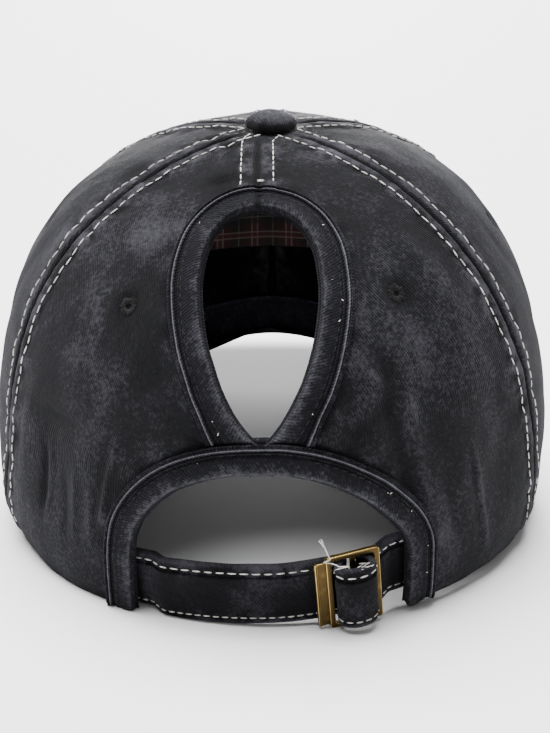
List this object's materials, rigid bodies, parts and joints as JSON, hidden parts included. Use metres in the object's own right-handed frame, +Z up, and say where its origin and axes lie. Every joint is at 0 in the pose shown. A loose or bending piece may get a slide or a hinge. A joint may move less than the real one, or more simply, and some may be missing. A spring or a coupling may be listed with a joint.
{
  "type": "ponytail baseball cap",
  "caption": "Washed twill baseball cap with a teardrop ponytail opening and an arch above a buckled back strap.",
  "frame": {"origin": "centre of the cap's bounding box in plan, on the surface that the cap rests on", "axes": "+X to the wearer's right, +Y to the front, where the peak is, +Z up"},
  "size_m": [0.1816, 0.2864, 0.1299],
  "materials": {
    "washed_twill": "washed charcoal twill",
    "twill_tape": "folded washed twill tape",
    "sweatband_twill": "plain dark twill",
    "plaid_cotton": "dark maroon plaid cotton",
    "embroidery_thread": "black embroidery thread",
    "antique_brass": "antique brass, brushed"
  },
  "bodies": {
    "root": {"panel_back_left": "washed_twill", "panel_back_right": "washed_twill", "panel_side_left": "washed_twill", "panel_side_right": "washed_twill", "panel_front_left": "washed_twill", "panel_front_right": "washed_twill", "top_button": "washed_twill", "hole_binding": "twill_tape", "arch_binding": "twill_tape", "sweatband": "sweatband_twill", "plaid_lining": "plaid_cotton", "peak": "washed_twill", "strap": "washed_twill", "buckle": "antique_brass", "eyelet_back_left": "embroidery_thread", "eyelet_back_right": "embroidery_thread", "eyelet_side_left": "embroidery_thread", "eyelet_side_right": "embroidery_thread", "eyelet_front_left": "embroidery_thread", "eyelet_front_right": "embroidery_thread"}
  },
  "joints": []
}
